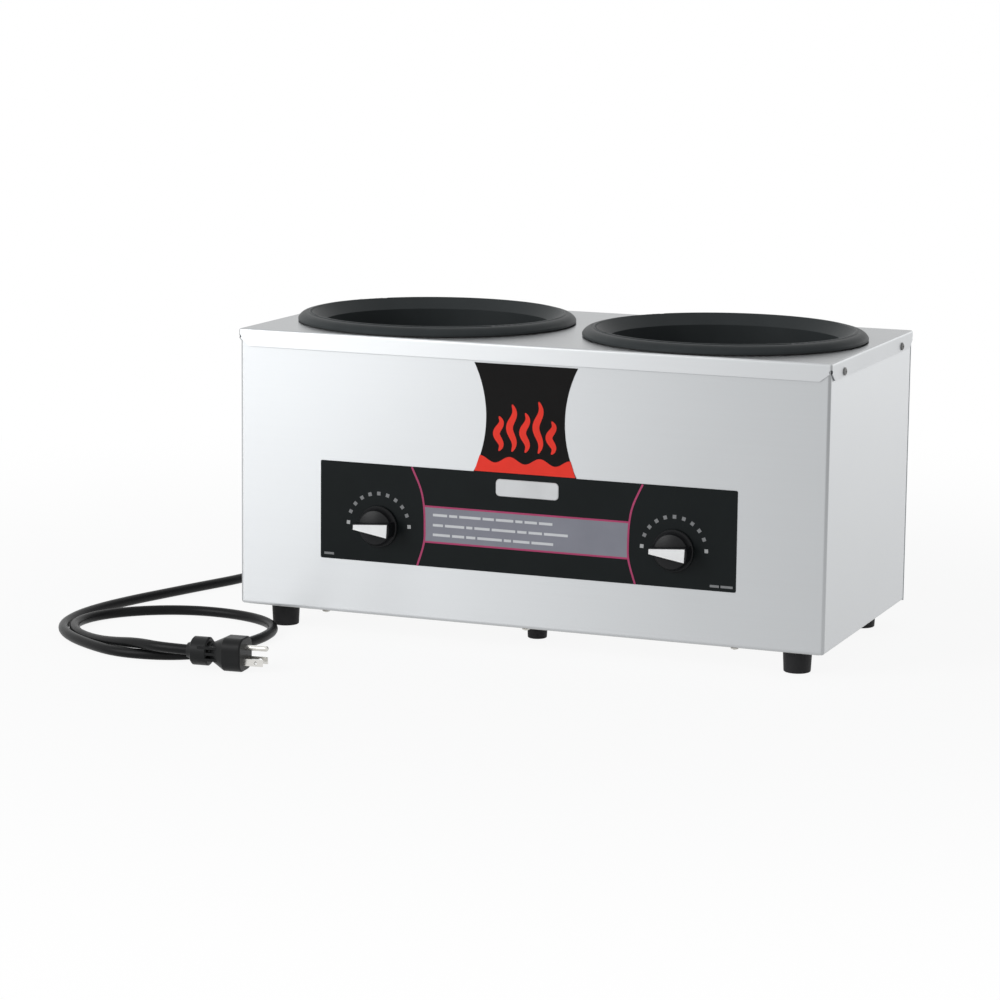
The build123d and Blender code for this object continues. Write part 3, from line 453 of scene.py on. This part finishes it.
def ribbon(line, widths):
    """A closed outline about a line; widths gives its half width at a share of its points."""
    left, right = [], []
    for i, (px, pz) in enumerate(line):
        a = line[max(i - 1, 0)]
        b = line[min(i + 1, len(line) - 1)]
        d = Vector((b[0] - a[0], b[1] - a[1])).normalized()
        w = widths(i / (len(line) - 1))
        left.append((px - d.y * w, pz + d.x * w))
        right.append((px + d.y * w, pz - d.x * w))
    return left + right[::-1]


# Marks round the dials, with brighter ones at both ends, at angles in degrees
MARK_RADIUS = 0.0305
MARK_SIZE = 0.0034
END_MARKS = (177.0, 3.0)
FIRST_MARK, MARK_STEP, MARK_COUNT = 157.0, 16.75, 9
MIDDLE_MARKS = [FIRST_MARK - MARK_STEP * i for i in range(MARK_COUNT)]


def dial_marks(cx, degrees):
    marks = []
    for a in map(radians, degrees):
        x, z = cx + MARK_RADIUS * cos(a), DIAL_Z + MARK_RADIUS * sin(a)
        marks.append(turned_square(x, z, MARK_SIZE, a))
    return marks


for side, cx in (("left", -DIAL_X), ("right", DIAL_X)):
    middle, ends = dial_marks(cx, MIDDLE_MARKS), dial_marks(cx, END_MARKS)
    print_piece(f"{side}_dial_marks", middle, FILM_Y, print_mark)
    print_piece(f"{side}_dial_end_marks", ends, FILM_Y, print_end_mark)

# Bowed lines beside the dials, and the grey box between them
ARC = [
    (0.1127, 0.1640),
    (0.1040, 0.1450),
    (0.1005, 0.1290),
    (0.0996, 0.1110),
    (0.1003, 0.0940),
    (0.1068, 0.0727),
]
ARC_INNER = min(x for x, z in ARC)
ARC_HALF, ARC_PROUD = 0.0009, 2 * PRINT_THICKNESS
LEFT_SHIFT, RIGHT_SHIFT = 0.0019, 0.0006
for side, sign, shift in (("left", -1, LEFT_SHIFT), ("right", 1, RIGHT_SHIFT)):
    middle = smooth_line([(sign * px + shift, pz) for px, pz in ARC])
    line = ribbon(middle, lambda t: ARC_HALF)
    print_piece(f"{side}_panel_line", [line], FILM_Y, print_magenta, proud=ARC_PROUD)

BOX_LEFT, BOX_RIGHT = -ARC_INNER + LEFT_SHIFT, ARC_INNER + RIGHT_SHIFT
BOX_LOW, BOX_HIGH, BOX_EDGE = 0.0965, 0.1278, 0.0017
box_fill = rectangle(BOX_LEFT, BOX_RIGHT, BOX_LOW, BOX_HIGH)
print_piece("panel_box", [box_fill], FILM_Y, print_grey)
edges = [
    rectangle(BOX_LEFT, BOX_RIGHT, BOX_HIGH, BOX_HIGH + BOX_EDGE),
    rectangle(BOX_LEFT, BOX_RIGHT, BOX_LOW - BOX_EDGE, BOX_LOW),
]
print_piece("panel_box_edges", edges, FILM_Y, print_magenta)

# Plain dashes where the strip has small print: each row's height, and its lengths in millimetres
MILLIMETRE = 0.001
ROW_LEFT, ROW_GAP, ROW_HALF = -0.0895, 0.0020, 0.0012
ROWS = [
    (0.1211, (14, 8, 21, 11, 17, 7, 12, 13)),
    (0.1117, (10, 19, 6, 15, 23, 9, 13, 23)),
    (0.1027, (17, 12, 9, 24, 7, 16, 21)),
]
# Both ends along X and the height of each dash in the strip's corners
CORNER_DASHES = [(-0.1985, -0.1888, 0.0774), (0.1780, 0.1866, 0.0770), (0.1881, 0.1995, 0.0770)]
CORNER_HALF = 0.0011


def dashes(z, lengths):
    x, row = ROW_LEFT, []
    for length in lengths:
        row.append(rectangle(x, x + length * MILLIMETRE, z - ROW_HALF, z + ROW_HALF))
        x += length * MILLIMETRE + ROW_GAP
    return row


bars = [bar for z, lengths in ROWS for bar in dashes(z, lengths)]
print_piece("panel_bars", bars, FILM_Y, print_light, lift=PRINT_THICKNESS)
corner_bars = [rectangle(x0, x1, z - CORNER_HALF, z + CORNER_HALF) for x0, x1, z in CORNER_DASHES]
print_piece("panel_corner_bars", corner_bars, FILM_Y, print_mark)


# Waisted panel: a scalloped band along its foot and upright heat waves over it
DECAL_END, DECAL_WAIST = 0.050, 0.038
BAND_EDGE, BAND_HEIGHT, BAND_SWING = 0.0006, 0.0125, 0.0030
BAND_SCALLOPS, BAND_STEPS = 3, 48
WAVE_FOOT, WAVE_SWING, WAVE_HALF = 0.0205, 0.0024, 0.0033
WAVE_TURNS, WAVE_STEPS = 1.5, 40
WAVE_TIP, WAVE_SWELL = 0.12, 0.6
# Place along X and height of each wave
WAVES = [(-0.0255, 0.0315), (-0.0128, 0.0430), (0.0, 0.0360), (0.0128, 0.0470), (0.0255, 0.0300)]


def decal_half(z):
    """Half width of the waisted panel at a height."""
    half_height = (DECAL_HIGH - DECAL_LOW) / 2
    sag = DECAL_END - DECAL_WAIST
    radius = (half_height**2 + sag**2) / (2 * sag)
    return DECAL_WAIST + radius - (radius**2 - (z - DECAL_LOW - half_height) ** 2) ** 0.5


def scalloped_band():
    """A band across the panel's foot, with a waved top edge."""
    low, high = DECAL_LOW + BAND_EDGE, DECAL_LOW + BAND_HEIGHT
    foot = decal_half(low) - BAND_EDGE
    tip = decal_half(high) - BAND_EDGE
    top = []
    for i in range(BAND_STEPS + 1):
        share = i / BAND_STEPS
        top.append((tip - 2 * tip * share, high + BAND_SWING * cos(2 * pi * BAND_SCALLOPS * share)))
    return [(-foot, low), (foot, low), *top]


def wave_half(share):
    """Half width of a heat wave, full in the middle and drawn out at both ends."""
    return WAVE_HALF * (WAVE_TIP + (1 - WAVE_TIP) * sin(pi * share) ** WAVE_SWELL)


def heat_wave(x, height):
    """An upright waved ribbon."""
    low = DECAL_LOW + WAVE_FOOT
    line = []
    for i in range(WAVE_STEPS + 1):
        share = i / WAVE_STEPS
        line.append((x + WAVE_SWING * sin(2 * pi * WAVE_TURNS * share), low + height * share))
    return ribbon(line, wave_half)


waves = [heat_wave(x, height) for x, height in WAVES]
print_piece("panel_heat_waves", [scalloped_band(), *waves], DECAL_Y, print_red)


# Plain badge plate on the strip, with rounded corners and a chamfered edge
BADGE_X, BADGE_Z = 0.0025, 0.1512
BADGE_HALF_WIDTH, BADGE_HALF_HEIGHT, BADGE_CORNER = 0.0305, 0.0080, 0.0040
BADGE_THICKNESS, BADGE_CHAMFER = 0.0009, 0.0006


def rounded_outline(half_width, half_height, radius, steps=8):
    points = []
    for quarter, (sx, sz) in enumerate(((1, 1), (-1, 1), (-1, -1), (1, -1))):
        cx, cz = sx * (half_width - radius), sz * (half_height - radius)
        for i in range(steps + 1):
            a = (quarter + i / steps) * pi / 2
            points.append((cx + radius * cos(a), cz + radius * sin(a)))
    return points


def make_badge():
    levels = [(0.0, 0.0), (0.0, BADGE_THICKNESS - BADGE_CHAMFER), (BADGE_CHAMFER, BADGE_THICKNESS)]
    bm = bmesh.new()
    rings = []
    for inset, out in levels:
        outline = rounded_outline(
            BADGE_HALF_WIDTH - inset, BADGE_HALF_HEIGHT - inset, BADGE_CORNER - inset
        )
        y = FILM_Y - out
        rings.append([bm.verts.new((BADGE_X + px, y, BADGE_Z + pz)) for px, pz in outline])
    for low, high in zip(rings, rings[1:]):
        for i in range(len(low)):
            j = (i + 1) % len(low)
            bm.faces.new((low[i], low[j], high[j], high[i]))
    bm.faces.new(rings[-1])
    bm.faces.new(list(reversed(rings[0])))
    finish_piece("badge_plate", bm, badge_silver)


make_badge()


# Cross recesses in the screw heads: crosses of painted shade that lie on the domes, for the shade inside
# each recess
HEAD_RADIUS, HEAD_EDGE, HEAD_HEIGHT = 0.0036, 0.0008, 0.0020
DOME_RISE = HEAD_HEIGHT - HEAD_EDGE
DOME_RADIUS = (HEAD_RADIUS**2 + DOME_RISE**2) / (2 * DOME_RISE)
RECESS_HALF, RECESS_REACH, RECESS_STEPS = 0.00045, 0.0021, 4
RECESS_LIFT, RECESS_SINK, RECESS_DIGITS = 0.000034, 0.0004, 7
DECK_SEAT_YS, DECK_SEAT_Z = (-0.088, 0.106), 0.2715


def dome_height(reach):
    lifted = HEAD_HEIGHT - DOME_RADIUS + (DOME_RADIUS**2 - reach**2) ** 0.5 + RECESS_LIFT
    return min(HEAD_HEIGHT, lifted)


def cross_cells():
    """The cross as rectangles in its own plane: the middle one, then steps out along each arm."""
    half, arm_length = RECESS_HALF, RECESS_REACH - RECESS_HALF
    across = (-half, half)
    cells = [(across, across)]
    for i in range(RECESS_STEPS):
        near = half + arm_length * i / RECESS_STEPS
        far = half + arm_length * (i + 1) / RECESS_STEPS
        for arm in ((near, far), (-far, -near)):
            cells += [(arm, across), (across, arm)]
    return cells


def add_cross(bm, seat, along, up, out):
    """A closed cross on the dome of a head whose seat is at seat, facing out."""
    made = {}

    def vertex(a, b):
        key = (round(a, RECESS_DIGITS), round(b, RECESS_DIGITS))
        if key not in made:
            height = dome_height((a * a + b * b) ** 0.5)
            made[key] = bm.verts.new(seat + along * a + up * b + out * height)
        return made[key]

    tops = []
    for (a0, a1), (b0, b1) in cross_cells():
        corners = ((a0, b0), (a1, b0), (a1, b1), (a0, b1))
        tops.append(bm.faces.new([vertex(a, b) for a, b in corners]))
    sunk = bmesh.ops.extrude_face_region(bm, geom=tops, use_keep_orig=True)
    verts = [g for g in sunk["geom"] if isinstance(g, bmesh.types.BMVert)]
    bmesh.ops.translate(bm, verts=verts, vec=-out * RECESS_SINK)


def screw_recesses(name, seats, along, up):
    bm = bmesh.new()
    for seat, out in seats:
        add_cross(bm, Vector(seat), Vector(along), Vector(up), Vector(out))
    finish_piece(name, bm, recess_shade)


deck_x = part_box("top_deck")[1].x
deck_seats = [
    ((side * deck_x, y, DECK_SEAT_Z), (side, 0, 0)) for side in (-1, 1) for y in DECK_SEAT_YS
]
screw_recesses("deck_screw_recesses", deck_seats, (0, 1, 0), (0, 0, 1))

rear_low, rear_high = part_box("rear_screws")
rear_x, rear_y = rear_high.x - HEAD_RADIUS, rear_high.y - HEAD_HEIGHT
rear_foot, rear_top = rear_low.z + HEAD_RADIUS, rear_high.z - HEAD_RADIUS
rear_levels = (rear_foot, (rear_foot + rear_top) / 2, rear_top)
rear_seats = [((side * rear_x, rear_y, z), (0, 1, 0)) for side in (-1, 1) for z in rear_levels]
screw_recesses("rear_screw_recesses", rear_seats, (1, 0, 0), (0, 0, 1))

base_low, base_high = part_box("base_screws")
base_x, base_z = base_high.x - HEAD_RADIUS, base_low.z + HEAD_HEIGHT
base_ys = (base_low.y + HEAD_RADIUS, base_high.y - HEAD_RADIUS)
base_seats = [((x, y, base_z), (0, 0, -1)) for y in base_ys for x in (-base_x, 0, base_x)]
screw_recesses("base_screw_recesses", base_seats, (1, 0, 0), (0, 1, 0))


# Power cord: a spline in place of the CAD tube
CORD_ROUND_STEPS, CORD_SPAN_STEPS = 6, 8


def make_cord():
    curve = bpy.data.curves.new("power_lead", "CURVE")
    curve.dimensions = "3D"
    curve.bevel_depth = CORD_DIAMETER / 2
    curve.bevel_resolution = CORD_ROUND_STEPS
    curve.resolution_u = CORD_SPAN_STEPS
    curve.use_fill_caps = True
    spline = curve.splines.new("NURBS")
    spline.points.add(len(CORD_POINTS) - 1)
    for point, place in zip(spline.points, CORD_POINTS):
        point.co = (*place, 1)
    spline.order_u = 3
    spline.use_endpoint_u = True
    curve.materials.append(cord_black)
    piece = bpy.data.objects.new("power_lead", curve)
    scene.collection.objects.link(piece)
    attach(piece, BODY)
    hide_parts("power_cord")


make_cord()


# Stage: floor, world, lamps and camera
FLOOR_HALF = 8.0
FLOOR_TONE, FLOOR_ROUGH = 0.92, 0.9
FLOOR_WHITE = 0.90
SHADOW_REACH = 0.35
WHITE_REACH = 1.3
WORLD_TINT = (0.96, 0.98, 1.0, 1)
WORLD_LIGHT = 0.40
WHITE = (1, 1, 1, 1)
LAMP_TARGET = (0, 0, 0.15)
SIDE_TARGET = (0.28, 0, 0.15)
# Name, place, target, size and power in watts
LAMPS = [
    ("low_left", (-1.6, -2.0, 0.42), LAMP_TARGET, (1.3, 0.84), 5),
    ("key_left", (-1.8, -2.4, 1.6), LAMP_TARGET, (1.8, 1.6), 39),
    ("rear_right", (1.5, 3.2, 0.55), SIDE_TARGET, (1.8, 1.0), 6),
]
CAMERA_AZIMUTH, CAMERA_ELEVATION, CAMERA_ROLL = radians(20.301), radians(9.259), radians(0.818)
CAMERA_DISTANCE = 3.1659
CAMERA_TARGET = Vector((0, 0.009, 0.1525))
CAMERA_LENS, CAMERA_SENSOR = 120.905, 36.0
CAMERA_SHIFT = (-0.07715, -0.03392)
CAMERA_FAR = 100


def looking_rays(tree):
    """1 for rays that see the background: from the camera, off shiny faces, through clear matter."""
    path = tree.nodes.new("ShaderNodeLightPath")
    total = path.outputs["Is Camera Ray"]
    for kind in ("Is Glossy Ray", "Is Transmission Ray"):
        join = tree.nodes.new("ShaderNodeMath")
        join.operation = "MAXIMUM"
        tree.links.new(total, join.inputs[0])
        tree.links.new(path.outputs[kind], join.inputs[1])
        total = join.outputs[0]
    return total


def make_floor():
    """A pale floor that keeps the object's shadow and fades to plain white away from it."""
    half = FLOOR_HALF
    corners = [(-half, -half, 0), (half, -half, 0), (half, half, 0), (-half, half, 0)]
    mesh = bpy.data.meshes.new("floor")
    mesh.from_pydata(corners, [], [(0, 1, 2, 3)])
    floor = bpy.data.objects.new("floor", mesh)
    scene.collection.objects.link(floor)
    look = Nodes("floor")
    look.put("Base Color", (FLOOR_TONE, FLOOR_TONE, FLOOR_TONE, 1))
    look.put("Roughness", FLOOR_ROUGH)
    reach = look.add("ShaderNodeVectorMath", operation="LENGTH")
    look.link(look.place(), reach.inputs[0])
    away = look.spread(reach.outputs["Value"], FLOOR_WHITE, 1, SHADOW_REACH, WHITE_REACH, "SMOOTHSTEP")
    mix = look.add("ShaderNodeMixShader")
    look.link(look.calculate("MULTIPLY", looking_rays(look.tree), away), mix.inputs[0])
    look.link(look.shader.outputs[0], mix.inputs[1])
    look.link(look.add("ShaderNodeEmission").outputs[0], mix.inputs[2])
    look.link(mix.outputs[0], look.tree.nodes["Material Output"].inputs["Surface"])
    mesh.materials.append(look.material)


def make_world():
    """Soft light from all round, and plain white where the background is seen."""
    world = bpy.data.worlds.new("studio")
    scene.world = world
    world.use_nodes = True
    tree = world.node_tree
    light = tree.nodes["Background"]
    light.inputs["Color"].default_value = WORLD_TINT
    light.inputs["Strength"].default_value = WORLD_LIGHT
    white = tree.nodes.new("ShaderNodeBackground")
    white.inputs["Color"].default_value = WHITE
    white.inputs["Strength"].default_value = 1.0
    mix = tree.nodes.new("ShaderNodeMixShader")
    tree.links.new(looking_rays(tree), mix.inputs[0])
    tree.links.new(light.outputs[0], mix.inputs[1])
    tree.links.new(white.outputs[0], mix.inputs[2])
    tree.links.new(mix.outputs[0], tree.nodes["World Output"].inputs["Surface"])


def area_lamp(name, place, target, size, power):
    lamp = bpy.data.lights.new(name, "AREA")
    lamp.shape = "RECTANGLE"
    lamp.size, lamp.size_y = size
    lamp.energy = power
    piece = bpy.data.objects.new(name, lamp)
    scene.collection.objects.link(piece)
    piece.location = place
    piece.rotation_euler = (Vector(target) - Vector(place)).to_track_quat("-Z", "Y").to_euler()


def make_camera():
    level = cos(CAMERA_ELEVATION)
    back = Vector((sin(CAMERA_AZIMUTH) * level, -cos(CAMERA_AZIMUTH) * level, sin(CAMERA_ELEVATION)))
    right = (-back).cross(Vector((0, 0, 1))).normalized()
    up = right.cross(-back)
    turned_right = right * cos(CAMERA_ROLL) + up * sin(CAMERA_ROLL)
    turned_up = up * cos(CAMERA_ROLL) - right * sin(CAMERA_ROLL)
    data = bpy.data.cameras.new("camera")
    data.sensor_fit = "HORIZONTAL"
    data.sensor_width = CAMERA_SENSOR
    data.lens = CAMERA_LENS
    data.shift_x, data.shift_y = CAMERA_SHIFT
    data.clip_end = CAMERA_FAR
    camera = bpy.data.objects.new("camera", data)
    scene.collection.objects.link(camera)
    matrix = Matrix((turned_right, turned_up, back)).transposed().to_4x4()
    matrix.translation = CAMERA_TARGET + back * CAMERA_DISTANCE
    camera.matrix_world = matrix
    scene.camera = camera


make_floor()
make_world()
for lamp in LAMPS:
    area_lamp(*lamp)
make_camera()
scene.view_settings.view_transform = "Standard"
